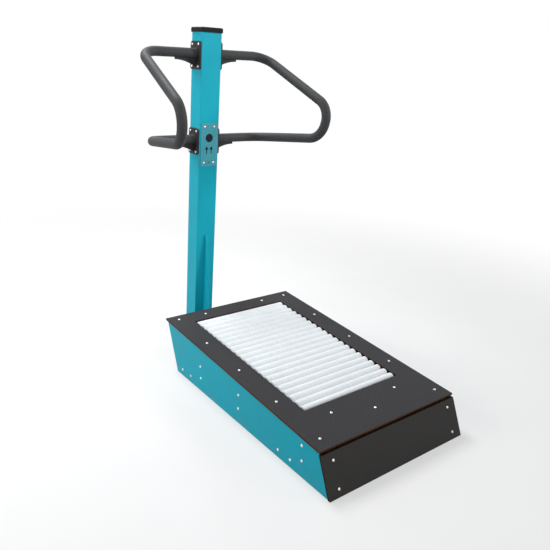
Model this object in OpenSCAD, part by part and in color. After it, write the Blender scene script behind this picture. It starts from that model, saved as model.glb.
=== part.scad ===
// Outdoor cardio roller: an inclined bed of free rollers in a low box,
// with a post and two handlebars in front of the user.
// Millimetres, +Z up, +Y the way the user faces, rollers along X.
// The origin is the middle of the footprint, on the ground.

/* [Deck] */
// Width of the deck board
deck_w = 800; // [780:10:840]
// Thickness of the deck board
deck_t = 10; // [8:0.5:11]
// Slope of the deck in degrees, the post's end higher
deck_rise = 3.6; // [3:0.2:4.4]
// Height of the deck's top at its rear edge
deck_rear_z = 176; // [166:2:190]
// Solid deck on each side of the opening
bed_side = 117.5; // [112:0.5:125]
// Solid deck behind the opening
bed_rear = 223; // [215:1:240]
// Solid deck ahead of the opening
bed_front = 93; // [88:1:120]

/* [Rollers] */
// Outer diameter of a roller
roller_d = 38; // [36:0.5:39]
// Gap between neighbouring rollers
roller_gap = 3; // [2.5:0.1:4]
// Wall of the roller tube
roller_wall = 2; // [1.5:0.5:3]
// How far the rollers stand above the deck
roller_proud = 2; // [1:0.5:3]
// Rounding of a roller's spun ends
roller_round = 5; // [3:0.5:6]
// Gap between a roller's end and the opening's side
roller_side_gap = 6.5; // [5:0.5:9]
// Gap between the first roller and the opening's end
roller_end_gap = 3; // [2:0.5:4]
// Diameter of the fixed axles
axle_d = 10; // [8.5:0.5:10]
// Width across the flats of an axle's end
axle_flat = 8; // [6:0.5:8]

/* [Box] */
// Slant of the rear and front panels from the vertical, in degrees
lean = 24.5; // [20:0.5:26]
// Thickness of the rear and front panels
panel_t = 10; // [8:1:12]
// Thickness of the side sheets
side_t = 4; // [3:0.5:5]
// How far the side sheets stand in from the deck's edge
side_inset = 3; // [2:0.5:5]
// Gap between the ground and the panels
ground_gap = 3; // [2:0.5:6]
// Open gap between the deck and the rear panel's top
rear_slot = 6; // [4:0.5:8]

/* [Frame] */
// Distance of the deck rails from the opening
rail_back = 10.5; // [9:0.5:14]
// Height of the deck rails
rail_h = 40; // [35:1:44]
// Side of the square ground tubes
ground_tube = 50; // [45:1:52]
// Side of the square uprights
upright_w = 40; // [36:1:42]
// Wall of the frame tubes
tube_wall = 3; // [2:0.5:4]
// Thickness of the anchor plates under the ground tubes
anchor_t = 8; // [6:0.5:10]
// Diameter of the anchor holes in the box's frame
anchor_hole = 14; // [12:1:16]
// Width of the beam that ties the box to the post
spine_w = 80; // [70:2:90]
// Height of that beam
spine_h = 40; // [36:1:44]

/* [Post] */
// Width of the post
post_w = 120; // [110:2:130]
// Depth of the post
post_d = 100; // [96:2:120]
// Wall of the post
post_wall = 4; // [3:0.5:6]
// Outer corner radius of the post
post_round = 3; // [2:0.5:6]
// Height of the post's top end
post_top_z = 1652; // [1625:5:1700]
// Free space between the deck and the post
post_gap = 268; // [255:1:320]
// Side of the foot plate's square anchor pattern
foot_pattern = 200; // [180:5:210]
// Diameter of the foot plate's anchor holes
foot_hole = 18; // [14:1:22]
// Thickness of the foot plate
foot_t = 12; // [10:1:16]
// Height of the stiffening web on the user's side
web_h = 564; // [500:4:620]
// Depth of the web at the foot
web_d = 95; // [80:1:100]
// Thickness of the web
web_t = 15; // [10:1:18]

/* [Handlebars] */
// Outer diameter of the handlebar tube
bar_d = 48.3; // [42:0.1:50]
// Wall of the handlebar tube
bar_wall = 3; // [2:0.5:4]
// Centre-line radius of every bend
bar_bend = 100; // [85:1:101]
// Drop from the post's top to the upper arm
bar_top_drop = 103; // [95:1:115]
// Distance between the upper and the lower arm
bar_apart = 438; // [430:1:452]
// Reach of the upper arm from the post's middle
bar_top_out = 381; // [365:1:400]
// Reach of the lower arm from the post's middle
bar_low_out = 338; // [325:1:345]
// Distance of the grip's upper corner behind the post's middle
grip_top_back = 504; // [490:1:520]
// Distance of the grip's lower corner behind the post's middle
grip_low_back = 480; // [465:1:495]
// Distance of the grip's upper corner to the side
grip_top_out = 433; // [425:1:440]
// Distance of the grip's lower corner to the side
grip_low_out = 418; // [410:1:425]
// Height of the grip from its lower to its upper corner
grip_h = 157; // [155:1:165]
// Rise from the lower arm to the grip's lower corner
grip_rise = 50; // [40:1:52]
// Width of a handlebar flange
flange_w = 96; // [90:1:96]
// Height of a handlebar flange
flange_h = 138; // [132:1:146]
// Thickness of a handlebar flange
flange_t = 8; // [6:0.5:10]
// Drop from the arm's axis to the middle of its flange
flange_drop = 10; // [6:1:14]
// Reach of the gusset under an arm, from its flange
gusset_reach = 120; // [100:2:130]

/* [Fasteners] */
// Shank diameter of the button-head screws
screw_d = 8; // [6:0.5:8]
// Head diameter of the button-head screws
screw_head = 15; // [13:0.5:16]
// Head height of the button-head screws
screw_head_h = 4.5; // [3.5:0.5:5]
// Shank diameter of the bolts that join the beam and the foot plate
link_bolt_d = 12; // [10:1:12]

/* [Hidden] */
$fn = 64;

// Colours of the finishes
teal = [0.15, 0.63, 0.71];
dark_grey = [0.29, 0.29, 0.30];
board_black = [0.23, 0.23, 0.24];
zinc = [0.70, 0.72, 0.73];
roller_white = [0.90, 0.93, 0.94];
stainless = [0.82, 0.83, 0.84];
cap_black = [0.08, 0.08, 0.09];
plate_teal = [0.24, 0.55, 0.60];

// One overrun for every cut
over = 1;
// Radial room of a screw in its hole
screw_room = 0.2;
// Radial room of a roller's bearings on the axle
bearing_room = 0.05;
// Room between parts that only lie near each other
seat_room = 0.3;
// Room between the slanted panels and the flat bars behind them
slant_room = 0.05;
// Room round an axle's flats in its slot
slot_room = 0.1;
// Radial room of a bearing ring in its seat
ring_room = 0.03;

// Rollers and their bed: one roller for each of the roller nodes
roller_count = 21;
roller_pitch = roller_d + roller_gap;
bed_l = (roller_count - 1) * roller_pitch + roller_d + 2 * roller_end_gap;
bed_w = deck_w - 2 * bed_side;
deck_l = bed_rear + bed_l + bed_front;

// Deck and box, in the side view
slope = tan(deck_rise);
tilt = tan(lean);
deck_front_y = deck_l * cos(deck_rise);
deck_front_z = deck_rear_z + deck_l * sin(deck_rise);
side_x = deck_w / 2 - side_inset;
side_in_x = side_x - side_t;
// Distance of the side sheets' front edges behind the deck's front edge
side_front_in = 10;
// Distance of the front panel's face behind the side sheets' edges
front_panel_in = 4;
// Room between the deck and the side sheets' top edges
side_top_room = 1;
// Width of the slanted flat bars behind the rear and front panels
stile_w = 40;
// Thickness of those bars
stile_t = 10;
// How far the rear bars end below the deck
bar_drop = 1;
// Horizontal measure of a thickness in the slanted walls
function level(t) = t / cos(lean);
// The flat bars' two faces, from the outer face of the panel before them
bar_out = level(panel_t) + slant_room;
bar_in = level(panel_t + stile_t) + slant_room;

// Rollers
roller_l = bed_w - 2 * roller_side_gap;
first_roller = bed_rear + roller_end_gap + roller_d / 2;
axis_drop = roller_d / 2 - roller_proud;
function roller_place(i) = first_roller + i * roller_pitch;
// Depth of a roller's bearing seats
bearing_w = 9;
// Outer diameter of the bearing rings
bearing_d = 24;
// Wall of the spun end and of the bearing seat
end_wall = 2.5;
// Retaining rings on the axles, outside the bearings: diameter, thickness and play on the axle
clip_d = 16;
clip_t = 1.2;
clip_room = 0.15;

// Frame
rail_in_x = bed_w / 2 + rail_back;
rail_w = side_in_x - rail_in_x;
slot_plate_t = 4;
slot_plate_x = rail_in_x - slot_plate_t;
// Height of the slotted plates
slot_plate_h = 52;
// How far the slotted plates run past the opening
slot_plate_past = 4;
// Play of an axle between the slotted plates
axle_play = 0.5;
// Middles of the uprights and of the tubes across the ground, as shares of the deck's length
upright_shares = [0.0807, 0.4432, 0.7099];
upright_y = upright_shares * deck_front_y;
cross_shares = [0.0976, 0.4432, 0.8067];
cross_y = cross_shares * deck_front_y;
// Anchors: the rear ones' place, and a round distance to the front ones that the box's length allows
rear_anchor_y = 42;
anchor_ends = 210;
anchor_grid = 10;
anchor_run = floor((deck_front_y - anchor_ends) / anchor_grid) * anchor_grid;
anchor_l = 60;
anchor_w = 120;
// Distance of the anchor holes from the side sheets' inner faces
anchor_hole_in = 84;
// Width of the rear rail across the box, and its place from the deck's rear edge
rear_cross_y = 76;
rear_cross_w = 100;
// Front angle: flange along the deck, leg down, thickness, gap to the opening
angle_flange = 55;
angle_leg = 40;
angle_t = 5;
angle_gap = 7;

// Post
post_y = deck_front_y + post_gap + post_d / 2;
post_face_y = post_y - post_d / 2;
foot_side_edge = 30;
foot_front_edge = 34;
foot_w = foot_pattern + 2 * foot_side_edge;
foot_front = foot_pattern / 2 + foot_front_edge;
foot_back = 226;
foot_round = 16;
// Inner corner radius of the post's tube
post_inner_round = 1;
// Cap: rim past the post, height of its side, height and inset of its bevelled top, plug depth
cap_rim = 5;
cap_side_h = 20;
cap_top_h = 4;
cap_top_in = 4;
cap_round = 5;
plug_h = 30;
plug_wall = 4;
plug_room = 0.8;
// Web: flat toe at the foot, depth and radius at its top
web_toe = 14;
web_top_d = 9;
// Tongue of the beam over the foot plate
tongue_t = 10;
tongue_w = 70;
tongue_over = 65;
tongue_in = 40;
spine_wall = 4;
spine_stop = 6;
link_x = 20;
link_back = 30;
// Hexagon heads of those bolts, across the corners
link_head_d = 21;
link_head_h = 7.5;

// Handlebars
bar_top_z = post_top_z - bar_top_drop;
bar_low_z = bar_top_z - bar_apart;
grip_low_z = bar_low_z + grip_rise;
grip_top_z = grip_low_z + grip_h;
bolt_y = 30;
bolt_z = 54;
flange_round = 14;
gusset_t = 8;
gusset_tip = 10;
gusset_curve = 240;
bolt_grip = 12;
// How much a bend draws the wall of the tube thinner, on each face
bend_thinning = 0.1;

// Instruction plate
sign_w = 100;
sign_h = 230;
sign_t = 3;
sign_drop = 26;
sign_z = bar_low_z - sign_drop;
sign_round = 5;
rivet_x = 30;
rivet_z = 96;
rivet_head = 11;
rivet_head_h = 2.5;
rivet_d = 5;
rivet_l = 8;

// Screws on the deck, measured from the deck's rear edge along its slope
side_row_in = 52;
side_row_x = deck_w / 2 - side_row_in;
side_row_first = 57;
side_row_last = 43;
side_row_count = 5;
side_row_pitch = (deck_l - side_row_first - side_row_last) / (side_row_count - 1);
front_row_side = 94.5;
front_row_x = bed_w / 2 - front_row_side;
front_row_in = 46;
rear_row_side = 89.5;
rear_row_x = bed_w / 2 - rear_row_side;
rear_row_v = 158;
single_v = 94;
screw_l = 22;
// The slanted panels' screws end inside the bars, this far before their inner faces
screw_end_in = 2;
panel_screw_l = panel_t + stile_t - screw_end_in;
deck_screw_places = concat(
    [for (i = [0 : side_row_count - 1], s = [-1, 1]) [s * side_row_x, side_row_first + i * side_row_pitch]],
    [for (s = [-1, 1]) [s * front_row_x, deck_l - front_row_in]],
    [for (s = [-1, 1]) [s * rear_row_x, rear_row_v]],
    [[0, single_v]]
);
// Screws on a side sheet: shares of the deck's length and of its rear height
side_screw_shares = [
    [0.134, 0.216], [0.2, 0.216], [0.7855, 0.21], [0.8517, 0.2], [0.078, 0.432],
    [0.084, 0.807], [0.4415, 0.42], [0.445, 0.795], [0.7065, 0.398], [0.7133, 0.739]
];
side_screw_places = [for (p = side_screw_shares) [p.x * deck_front_y, p.y * deck_rear_z]];
// Screws on the rear panel: in from the side sheets, shares of the deck's rear height
rear_screw_in = 47;
rear_screw_x = side_in_x - rear_screw_in;
rear_screw_shares = [0.182, 0.75];
rear_screw_z = rear_screw_shares * deck_rear_z;
// Screws on the front panel: in the middle of the flat bars, shares of the deck's rear height
front_screw_in = stile_w / 2;
front_screw_shares = [0.227, 0.852];
front_screw_z = front_screw_shares * deck_rear_z;
// Screws of a slotted plate: below the deck board, between two rollers at these shares of the bed
rail_screw_low = 26;
rail_screw_drop = deck_t + rail_screw_low;
rail_screw_shares = [0.05, 0.3, 0.55, 0.8];
rail_screw_v = [for (s = rail_screw_shares) roller_place(floor(s * roller_count)) + roller_pitch / 2];

// The whole machine's length decides the origin
rear_end_y = -(deck_rear_z - ground_gap) * tilt;
front_end_y = post_y + foot_front;
mid_y = (rear_end_y + front_end_y) / 2;

// Frames of reference
module on_ground() translate([0, -mid_y, 0]) children();
// The deck's top is the plane z = 0 here, and y runs up its slope
module on_slope() on_ground() translate([0, 0, deck_rear_z]) rotate([deck_rise, 0, 0]) children();
module mirror_copy() { children(); mirror([1, 0, 0]) children(); }
module left() mirror([1, 0, 0]) children();

// The box in side view, as [y, z]: its walls moved in by the horizontal measures rear_in and
// front_in, its top lowered by drop below the deck's top and its bottom at z_low
function box_outline(rear_in, front_in, drop, z_low) =
    let (
        fall = drop / cos(deck_rise),
        square_up = 1 - slope * tilt,
        rear_top_y = (rear_in - fall * tilt) / square_up,
        front_top_y = (deck_front_y - front_in - (deck_front_z - deck_rear_z + fall) * tilt) / square_up
    )
    [
        [rear_in - (deck_rear_z - z_low) * tilt, z_low],
        [rear_top_y, deck_rear_z + rear_top_y * slope - fall],
        [front_top_y, deck_rear_z + front_top_y * slope - fall],
        [deck_front_y - front_in - (deck_front_z - z_low) * tilt, z_low]
    ];

// A side-view outline carried across from x0 to x1
module across(points, x0, x1)
    translate([x0, 0, 0]) rotate([90, 0, 90]) linear_extrude(x1 - x0) polygon(points);

module block(from, to) translate(from) cube(to - from);

module round_rect(w, h, r) {
    square([w - 2 * r, h], center = true);
    square([w, h - 2 * r], center = true);
    for (x = [-1, 1], y = [-1, 1]) translate([x * (w / 2 - r), y * (h / 2 - r)]) circle(r);
}

// Rectangular tube along +Y, its section's low corner at the origin
module tube_y(w, h, l, wall)
    difference() {
        cube([w, l, h]);
        translate([wall, -over, wall]) cube([w - 2 * wall, l + 2 * over, h - 2 * wall]);
    }

// Rectangular tube along +X, from x0 to x1, its section's low corner at [y, z]
module tube_x(x0, x1, y, z, d, h, wall)
    difference() {
        block([x0, y, z], [x1, y + d, z + h]);
        block([x0 - over, y + wall, z + wall], [x1 + over, y + d - wall, z + h - wall]);
    }

// Button-head screw down -Z, its head standing on z = 0
module button_screw(d, head, head_h, l) {
    translate([0, 0, -l]) cylinder(d = d, h = l);
    rotate_extrude() intersection() {
        translate([0, (head_h * head_h - head * head / 4) / (2 * head_h)])
            circle(r = (head_h * head_h + head * head / 4) / (2 * head_h), $fn = 128);
        square([head / 2, head_h]);
    }
}

module screw_hole(d, l) translate([0, 0, -l]) cylinder(d = d + 2 * screw_room, h = l + over);

// Deck
module deck_board() color(board_black) on_slope() difference() {
    block([-deck_w / 2, 0, -deck_t], [deck_w / 2, deck_l, 0]);
    block([-bed_w / 2, bed_rear, -deck_t - over], [bed_w / 2, bed_rear + bed_l, over]);
    for (p = deck_screw_places) translate([p.x, p.y, 0]) screw_hole(screw_d, deck_t + over);
}

module deck_screws() color(stainless) on_slope()
    for (p = deck_screw_places) translate([p.x, p.y, 0]) button_screw(screw_d, screw_head, screw_head_h, screw_l);

// Slanted panels. A place on a slanted wall: to the side, height, the wall moved in by wall_in
module on_rear(x, z, wall_in)
    on_ground() translate([x, level(wall_in) - (deck_rear_z - z) * tilt, z]) rotate([90 - lean, 0, 0]) children();
module on_front(x, z, wall_in)
    on_ground() translate([x, deck_front_y - wall_in - (deck_front_z - z) * tilt, z])
        rotate([-90 - lean, 0, 0]) children();

module rear_panel() color(board_black) difference() {
    on_ground() intersection() {
        across(box_outline(0, 0, deck_t + rear_slot, ground_gap), -deck_w / 2, deck_w / 2);
        across([for (p = [[0, 0], [0, 1], [1, 1], [1, 0]])
            [p.x * level(panel_t) - (1 - p.y) * deck_rear_z * tilt, p.y * deck_rear_z]],
            -deck_w / 2, deck_w / 2);
    }
    for (s = [-1, 1], z = rear_screw_z) on_rear(s * rear_screw_x, z, 0) screw_hole(screw_d, panel_t + over);
}

module rear_panel_screws() color(stainless)
    for (s = [-1, 1], z = rear_screw_z)
        on_rear(s * rear_screw_x, z, 0) button_screw(screw_d, screw_head, screw_head_h, panel_screw_l);

front_in = side_front_in + front_panel_in;

module front_panel() color(board_black) difference() {
    on_ground() difference() {
        across(box_outline(0, front_in, deck_t + rear_slot, ground_gap), -side_in_x + seat_room, side_in_x - seat_room);
        across(box_outline(-over * deck_rear_z, front_in + level(panel_t), deck_t, -over), -deck_w / 2, deck_w / 2);
        block([-spine_w / 2 - over, 0, -over], [spine_w / 2 + over, deck_front_y, anchor_t + spine_h + over]);
    }
    for (s = [-1, 1], z = front_screw_z)
        on_front(s * (side_in_x - front_screw_in), z, front_in) screw_hole(screw_d, panel_t + over);
}

module front_panel_screws() color(stainless)
    for (s = [-1, 1], z = front_screw_z)
        on_front(s * (side_in_x - front_screw_in), z, front_in)
            button_screw(screw_d, screw_head, screw_head_h, panel_screw_l);

// Side sheets
module side_sheet() on_ground() difference() {
    across(box_outline(level(panel_t), side_front_in, deck_t + side_top_room, ground_gap), side_in_x, side_x);
    for (p = side_screw_places)
        translate([side_x, p.x, p.y]) rotate([0, 90, 0]) screw_hole(screw_d, side_t + over);
}
module side_screws() on_ground()
    for (p = side_screw_places)
        translate([side_x, p.x, p.y]) rotate([0, 90, 0]) button_screw(screw_d, screw_head, screw_head_h, screw_l);

module right_panel() color(teal) side_sheet();
module left_panel() color(teal) left() side_sheet();
module right_panel_screws() color(stainless) side_screws();
module left_panel_screws() color(stainless) left() side_screws();

// Side frame: deck rail, ground tube, uprights, flat bars behind the panels, anchor plates
module side_frame() difference() {
    union() {
        // Deck rail, its ends cut along the slanted walls
        intersection() {
            on_slope() translate([rail_in_x, 0, -deck_t - rail_h]) tube_y(rail_w, rail_h, deck_l, tube_wall);
            on_ground() across(box_outline(bar_in, front_in + level(panel_t) + seat_room, 0, 0),
                rail_in_x - over, side_in_x + over);
        }
        on_ground() {
            // Ground tube
            intersection() {
                translate([side_in_x - ground_tube, rear_end_y, anchor_t])
                    tube_y(ground_tube, ground_tube, deck_front_y - rear_end_y, tube_wall);
                across(box_outline(bar_in, front_in + bar_in, 0, 0),
                    rail_in_x, side_in_x + over);
            }
            // Uprights between the ground tube and the deck rail
            intersection() {
                for (y = upright_y) difference() {
                    block([side_in_x - upright_w, y - upright_w / 2, anchor_t + ground_tube],
                          [side_in_x, y + upright_w / 2, deck_front_z]);
                    block([side_in_x - upright_w + tube_wall, y - upright_w / 2 + tube_wall, 0],
                          [side_in_x - tube_wall, y + upright_w / 2 - tube_wall, deck_front_z + over]);
                }
                across(box_outline(0, 0, deck_t + rail_h, 0), rail_in_x, side_in_x + over);
            }
            // Flat bar behind the rear panel, up to just below the deck
            difference() {
                across(box_outline(bar_out, 0, deck_t + bar_drop, anchor_t),
                    rear_screw_x - stile_w / 2, rear_screw_x + stile_w / 2);
                across(box_outline(bar_in, -over, 0, 0), 0, deck_w);
            }
            // Flat bar behind the front panel, up to the deck rail
            difference() {
                across(box_outline(0, front_in + bar_out, deck_t + rail_h, anchor_t),
                    side_in_x - stile_w, side_in_x);
                across(box_outline(-over, front_in + bar_in, 0, 0), 0, deck_w);
            }
            // Anchor plates
            for (y = [rear_anchor_y, rear_anchor_y + anchor_run])
                block([side_in_x - anchor_w, y - anchor_l / 2, 0], [side_in_x, y + anchor_l / 2, anchor_t]);
        }
    }
    on_ground() for (y = [rear_anchor_y, rear_anchor_y + anchor_run])
        translate([side_in_x - anchor_hole_in, y, -over]) cylinder(d = anchor_hole, h = anchor_t + 2 * over);
    // Holes for the deck's, the panels' and the side sheet's screws
    on_slope() for (p = deck_screw_places)
        if (p.x > rail_in_x) translate([p.x, p.y, 0]) screw_hole(screw_d, screw_l + over);
    on_ground() for (p = side_screw_places)
        translate([side_x, p.x, p.y]) rotate([0, 90, 0]) screw_hole(screw_d, screw_l + over);
    for (z = rear_screw_z) on_rear(rear_screw_x, z, 0) screw_hole(screw_d, panel_screw_l + over);
    for (z = front_screw_z) on_front(side_in_x - front_screw_in, z, front_in) screw_hole(screw_d, panel_screw_l + over);
    // Holes for the slotted plate's screws
    on_slope() for (v = rail_screw_v)
        translate([slot_plate_x, v, -rail_screw_drop])
            rotate([0, -90, 0]) screw_hole(screw_d, screw_l + over);
}

module right_side_frame() color(zinc) side_frame();
module left_side_frame() color(zinc) left() side_frame();

module rear_cross_rail() color(zinc) on_slope() difference() {
    tube_x(-rail_in_x, rail_in_x, rear_cross_y, -deck_t - rail_h, rear_cross_w, rail_h, tube_wall);
    for (p = deck_screw_places) if (abs(p.x) < rail_in_x)
        translate([p.x, p.y, 0]) screw_hole(screw_d, screw_l + over);
}

module front_cross_angle() color(zinc) on_slope() difference() {
    y0 = bed_rear + bed_l + angle_gap;
    union() {
        block([-rail_in_x, y0, -deck_t - angle_t], [rail_in_x, y0 + angle_flange, -deck_t]);
        block([-rail_in_x, y0, -deck_t - angle_leg], [rail_in_x, y0 + angle_t, -deck_t]);
    }
    for (p = deck_screw_places) if (abs(p.x) < rail_in_x)
        translate([p.x, p.y, 0]) screw_hole(screw_d, screw_l + over);
}

module ground_cross_tubes() color(zinc) on_ground()
    for (y = cross_y)
        tube_x(ground_tube - side_in_x, side_in_x - ground_tube, y - ground_tube / 2, anchor_t,
            ground_tube, ground_tube, tube_wall);

// Beam from the box to the post, with a tongue that lies on the foot plate
spine_start = cross_y[2] + ground_tube / 2;
spine_end = post_y - foot_back - spine_stop;
link_y = post_y - foot_back + link_back;
module spine_beam() color(zinc) on_ground() {
    translate([-spine_w / 2, spine_start, anchor_t]) tube_y(spine_w, spine_h, spine_end - spine_start, spine_wall);
    difference() {
        block([-tongue_w / 2, spine_end - tongue_in, foot_t],
              [tongue_w / 2, post_y - foot_back + tongue_over, foot_t + tongue_t]);
        for (s = [-1, 1]) translate([s * link_x, link_y, foot_t + tongue_t]) screw_hole(link_bolt_d, tongue_t + over);
    }
}

module link_bolts() color(zinc) on_ground()
    for (s = [-1, 1]) translate([s * link_x, link_y, foot_t + tongue_t]) {
        cylinder(d = link_head_d, h = link_head_h, $fn = 6);
        translate([0, 0, -foot_t - tongue_t + seat_room]) cylinder(d = link_bolt_d, h = foot_t + tongue_t);
    }

// Slotted plates that carry the axles' flats
module roller_rail() on_slope() difference() {
    block([slot_plate_x, bed_rear - slot_plate_past, -deck_t - slot_plate_h],
          [rail_in_x, bed_rear + bed_l + slot_plate_past, -deck_t]);
    for (i = [0 : roller_count - 1])
        block([slot_plate_x - over, roller_place(i) - axle_flat / 2 - slot_room, -axis_drop - axle_d / 2 - slot_room],
              [rail_in_x + over, roller_place(i) + axle_flat / 2 + slot_room, over]);
    for (v = rail_screw_v)
        translate([slot_plate_x, v, -rail_screw_drop])
            rotate([0, -90, 0]) screw_hole(screw_d, slot_plate_t + over);
}
module right_roller_rail() color(zinc) roller_rail();
module left_roller_rail() color(zinc) left() roller_rail();

module roller_rail_screws() color(stainless) mirror_copy() on_slope()
    for (v = rail_screw_v)
        translate([slot_plate_x, v, -rail_screw_drop])
            rotate([0, -90, 0]) button_screw(screw_d, screw_head, screw_head_h, screw_l);

// Fixed axles: round between the plates, with two flats in the slots
module roller_axle() intersection() {
    rotate([0, 90, 0]) cylinder(d = axle_d, h = 2 * (rail_in_x - axle_play), center = true);
    union() {
        block([axle_play - slot_plate_x, -axle_d, -axle_d], [slot_plate_x - axle_play, axle_d, axle_d]);
        block([-rail_in_x, -axle_flat / 2, -axle_d], [rail_in_x, axle_flat / 2, axle_d]);
    }
}
module roller_axles() color(zinc) on_slope()
    for (i = [0 : roller_count - 1]) translate([0, roller_place(i), -axis_drop]) roller_axle();

module axle_clips() color(zinc) on_slope()
    for (i = [0 : roller_count - 1], s = [-1, 1])
        translate([s * (roller_l / 2 + seat_room + clip_t / 2), roller_place(i), -axis_drop]) rotate([0, 90, 0])
            difference() {
                cylinder(d = clip_d, h = clip_t, center = true);
                cylinder(d = axle_d + 2 * clip_room, h = clip_t + 2 * over, center = true);
            }

// Roller: a tube with spun ends and a bearing ring seated in each
module roller_end_profile(r, wall) {
    half = roller_l / 2;
    seat_r = bearing_d / 2;
    polygon(concat(
        [[r, 0]],
        [for (a = [0 : 15 : 90])
            [r - roller_round + roller_round * cos(a), half - roller_round + roller_round * sin(a)]],
        [[seat_r, half], [seat_r, half - bearing_w], [seat_r + end_wall, half - bearing_w],
         [seat_r + end_wall, half - end_wall], [r - roller_round, half - end_wall],
         [r - wall, half - roller_round], [r - wall, 0]]
    ));
}
module roller(i) color(roller_white) on_slope()
    translate([0, roller_place(i), -axis_drop]) rotate([0, 90, 0]) {
        rotate_extrude($fn = 96) {
            roller_end_profile(roller_d / 2, roller_wall);
            mirror([0, 1]) roller_end_profile(roller_d / 2, roller_wall);
        }
        for (s = [-1, 1]) translate([0, 0, s * (roller_l / 2 - bearing_w / 2)]) difference() {
            cylinder(d = bearing_d - 2 * ring_room, h = bearing_w, center = true);
            cylinder(d = axle_d + 2 * bearing_room, h = bearing_w + 2 * over, center = true);
        }
    }

// Post
module handle_bolt_places()
    for (z = [bar_top_z, bar_low_z], y = [-1, 1], k = [-1, 1])
        translate([post_w / 2, post_y + y * bolt_y, z - flange_drop + k * bolt_z]) rotate([0, 90, 0]) children();

module post() color(teal) on_ground() difference() {
    translate([0, post_y, foot_t]) linear_extrude(post_top_z - foot_t) difference() {
        round_rect(post_w, post_d, post_round);
        round_rect(post_w - 2 * post_wall, post_d - 2 * post_wall, post_inner_round);
    }
    mirror_copy() handle_bolt_places() screw_hole(screw_d, post_wall + over);
    for (s = [-1, 1], k = [-1, 1])
        translate([s * rivet_x, post_face_y, sign_z + k * rivet_z]) rotate([90, 0, 0]) screw_hole(rivet_d, post_wall + over);
}

module post_cap() color(cap_black) on_ground() translate([0, post_y, post_top_z]) {
    w = post_w + 2 * cap_rim;
    d = post_d + 2 * cap_rim;
    hull() {
        linear_extrude(cap_side_h) round_rect(w, d, cap_round, $fn = 32);
        linear_extrude(cap_side_h + cap_top_h)
            round_rect(w - 2 * cap_top_in, d - 2 * cap_top_in, cap_round, $fn = 32);
    }
    translate([0, 0, -plug_h]) linear_extrude(plug_h) difference() {
        square([post_w - 2 * (post_wall + plug_room), post_d - 2 * (post_wall + plug_room)], center = true);
        square([post_w - 2 * (post_wall + plug_wall), post_d - 2 * (post_wall + plug_wall)], center = true);
    }
}

module post_web() color(teal) on_ground() union() {
    top = foot_t + web_h;
    nose = web_top_d / 2;
    translate([-web_t / 2, 0, 0]) rotate([90, 0, 90]) linear_extrude(web_t) polygon(concat(
        [[post_face_y, foot_t], [post_face_y - web_d, foot_t], [post_face_y - web_d, foot_t + web_toe]],
        [for (a = [0 : 15 : 90])
            [post_face_y - web_top_d + nose - nose * cos(a), top - nose + nose * sin(a)]],
        [[post_face_y, top]]
    ));
}

module foot_plate() color(teal) on_ground() difference() {
    translate([0, post_y + (foot_front - foot_back) / 2, 0])
        linear_extrude(foot_t) round_rect(foot_w, foot_front + foot_back, foot_round);
    for (x = [-1, 1], y = [-1, 1])
        translate([x * foot_pattern / 2, post_y + y * foot_pattern / 2, -over])
            cylinder(d = foot_hole, h = foot_t + 2 * over);
    for (s = [-1, 1]) translate([s * link_x, link_y, foot_t]) screw_hole(link_bolt_d, foot_t + over);
}

// Handlebars: straight runs and round bends along a bent centre line
bar_start_x = post_w / 2 + flange_t;
bar_path = [
    [bar_start_x, post_y, bar_top_z],
    [bar_top_out, post_y, bar_top_z],
    [grip_top_out, post_y - grip_top_back, grip_top_z],
    [grip_low_out, post_y - grip_low_back, grip_low_z],
    [bar_low_out, post_y, bar_low_z],
    [bar_start_x, post_y, bar_low_z]
];
// Directions, bends and straight lengths along the bent centre line
function unit(v) = v / norm(v);
last_run = len(bar_path) - 2;
function run_dir(i) = unit(bar_path[i + 1] - bar_path[i]);
function bend_angle(i) = i == 0 || i > last_run ? 0 : acos(run_dir(i - 1) * run_dir(i));
function bend_normal(i) = i == 0 ? [0, 1, 0] : unit(cross(run_dir(i - 1), run_dir(i)));
// Turn about the run before bend i, from the last bend's plane to this one's
function bend_roll(i) =
    atan2(cross(bend_normal(i - 1), bend_normal(i)) * run_dir(i - 1), bend_normal(i - 1) * bend_normal(i));
function bend_take(i) = bar_bend * tan(bend_angle(i) / 2);
function run_length(i) = norm(bar_path[i + 1] - bar_path[i]) - bend_take(i) - bend_take(i + 1);

module bar_section(thinner) difference() {
    circle(d = bar_d - 2 * thinner);
    circle(d = bar_d - 2 * bar_wall + 2 * thinner);
}

// Moves what stands on a bend's start to the bend's end
module past_bend(angle) translate([bar_bend, 0, 0]) rotate([0, angle, 0]) translate([-bar_bend, 0, 0]) children();

// Bend from the plane z = 0, which turns +Z toward +X: a ring between its two end planes
module bend(angle) {
    reach = bar_bend + bar_d;
    intersection() {
        translate([bar_bend, 0, 0]) rotate([90, 0, 0]) rotate_extrude($fn = 96) translate([bar_bend, 0]) bar_section(bend_thinning);
        translate([-bar_d, -bar_d, 0]) cube([2 * reach, 2 * bar_d, 2 * reach]);
        past_bend(angle) translate([-bar_d, -bar_d, -2 * reach]) cube([2 * reach, 2 * bar_d, 2 * reach]);
    }
}

// The tube from run i to its end, along +Z
module bent_tube(i) {
    l = run_length(i);
    linear_extrude(l) bar_section(0);
    if (i < last_run) translate([0, 0, l]) rotate([0, 0, bend_roll(i + 1)]) {
        bend(bend_angle(i + 1));
        past_bend(bend_angle(i + 1)) bent_tube(i + 1);
    }
}

module handlebar() on_ground() translate(bar_path[0]) rotate([0, 90, 0]) bent_tube(0);
module right_handlebar() color(dark_grey) handlebar();
module left_handlebar() color(dark_grey) left() handlebar();

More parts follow.
